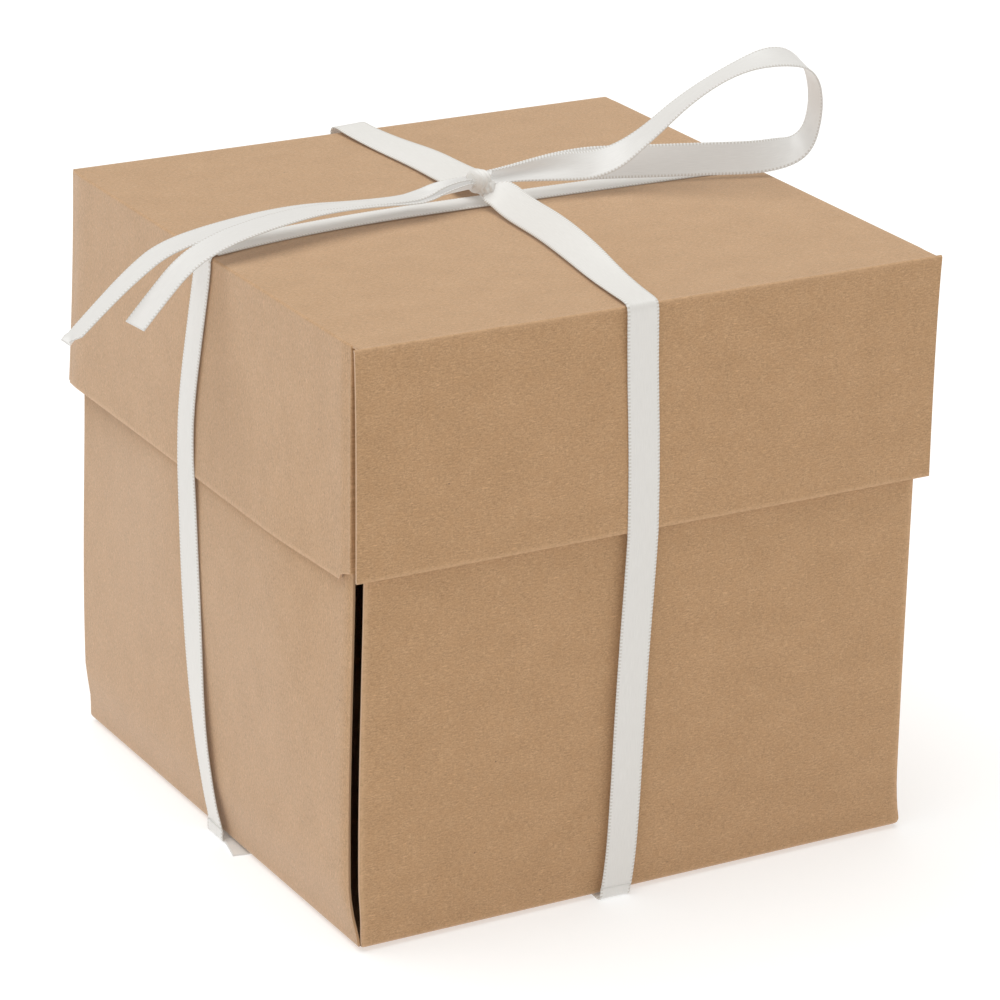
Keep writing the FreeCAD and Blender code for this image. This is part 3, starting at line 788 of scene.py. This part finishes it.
UNDER_SIDE_TO_SIDE = [
    (-61.35, -2.8, 2.7, 0, 1, 0), (-61.45, -2.8, 0.6, 0, 1, 0), (-60.9, -2.8, 0.19, 0, 1, 0),
    (-57.0, -2.7, 0.17, 0, 1, 0), (-12.0, -2.5, 0.17, 0, 1, 0), (-6.0, -2.5, 0.46, 0, 1, 0),
    (4.0, -2.4, 0.46, 0, 1, 0), (10.0, -2.4, 0.17, 0, 1, 0), (57.0, -2.4, 0.17, 0, 1, 0),
    (61.3, -2.4, 0.19, 0, 1, 0), (61.85, -2.4, 0.6, 0, 1, 0), (61.9, -2.4, 2.6, 0, 1, 0),
]
TIP_WIDTH = 3.9       # the tucked tip is folded over lengthwise
TUCKED_TIP = [
    (-58.9, -5.2, 0.42, 1, 0, 0), (-59.2, -7.5, 0.30, 1, 0, 0), (-59.8, -10.5, 0.24, 0.95, -0.3, 0),
    (-60.3, -12.75, 0.2, 0.77, -0.64, 0),
]
# The knot's two lobes: middle, half length along its axis, radii across it, yaw and pitch in degrees.
KNOT_ROWS, KNOT_SECTIONS = 29, 56
KNOT_LOBES = {
    "bow_knot_wrap": ((-0.45, 5.4, 122.75), 1.95, 2.55, 2.3, 10.0, 12.0),
    "bow_knot_under": ((0.9, 4.9, 121.55), 1.9, 2.3, 1.65, -28.0, -8.0),
}


def knot_lobe(name, middle, half_length, radius_y, radius_z, yaw, pitch, material):
    """A tight wrap of gathered ribbon: a plump closed barrel with folds running round it."""
    around, along = KNOT_SECTIONS, KNOT_ROWS
    tilt = Euler((0.0, math.radians(pitch), math.radians(yaw))).to_matrix()
    verts, uvs = [], []
    for row in range(along):
        u = -1 + 2 * row / (along - 1)
        body = (1 - min(0.998, abs(u)) ** 2.8) ** 0.42
        for column in range(around):
            turn = 2 * math.pi * column / around
            fold = 0.075 * math.cos(3.4 * math.pi * u + 1.3 * math.sin(turn + 0.6))
            fold += 0.03 * math.cos(2 * turn + 2.2 * u)
            swell = body * (1 + fold)
            place = Vector((u * half_length, radius_y * swell * math.cos(turn),
                            radius_z * swell * math.sin(turn)))
            verts.append(tuple(tilt @ place + Vector(middle)))
            uvs.append((u * RIBBON_WIDTH / 2, turn * radius_y))
    quads = []
    for row in range(along - 1):
        for column in range(around):
            a, b = row * around + column, row * around + (column + 1) % around
            quads.append((a, b, b + around, a + around))
    quads.append(tuple(reversed(range(around))))
    quads.append(tuple(range((along - 1) * around, along * around)))
    piece = finished(name, verts, quads, "ribbon", uvs, material)
    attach(piece, "lid")
    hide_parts("ribbon_knot")


# Each cord: rows, CAD node, what its far end is on, and its pinch.
CORDS = {
    "bow_loop": (LOOP, "ribbon_loop", "object", ((0.42, 24.0), (0.42, 20.0))),
    "bow_long_tail": (LONG_TAIL, "ribbon_long_tail", "bare", ((0.4, 13.0), (0.62, 2.0))),
    "bow_short_tail": (SHORT_TAIL, "ribbon_short_tail", "bare", ((0.4, 13.0), (1.0, 1.0))),
}


def cords(material):
    for name, (rows, node, end, pinch) in CORDS.items():
        piece, line, length = ribbon(name, rows, "lid", [node], material, pinch, gathered=True)


def bands(material):
    """The ribbon drawn tight round the lid and the base, and the knot."""
    ribbon("base_ribbon_front_to_back", UNDER_FRONT_TO_BACK, "box", ["ribbon_under_front_to_back"],
           material)
    ribbon("base_ribbon_side_to_side", UNDER_SIDE_TO_SIDE, "box", ["ribbon_under_side_to_side"],
           material)
    ribbon("base_ribbon_tip", TUCKED_TIP, "box", [], material, width=TIP_WIDTH)
    ribbon("front_band", FRONT_BAND, "lid", ["ribbon_top_front", "ribbon_front_drop"], material,
           pinch=((0.3, 3.6), (1.0, 1.0)))
    ribbon("back_band", BACK_BAND, "lid", ["ribbon_top_back", "ribbon_back_drop"], material,
           pinch=((0.35, 5.0), (1.0, 1.0)))
    ribbon("side_band", SIDE_BAND, "lid",
           ["ribbon_top_side_to_side", "ribbon_left_drop", "ribbon_right_drop"], material)
    for name, shape in KNOT_LOBES.items():
        knot_lobe(name, *shape, material)


camera()
studio()
# The loose cords get a darker base and a stronger painted glow than the bands, so their shaded strands
# look lit.
cords(satin("loose_satin_painted_glow", 0.48, 0.34))
bands(satin("satin_ribbon_painted_glow", 0.75, 0.11))

kraft_board = kraft("kraft_board_finish", (0.528, 0.322, 0.169))
lid_top_piece(kraft_board)
for wall in ("front", "back", "left", "right"):
    lid_wall(wall, kraft_board)
    box_side(wall, kraft_board)
for tab_end in ("front", "back"):
    for tab_hand in ("left", "right"):
        lid_tab(tab_end, tab_hand, kraft_board)
base_piece(kraft_board)
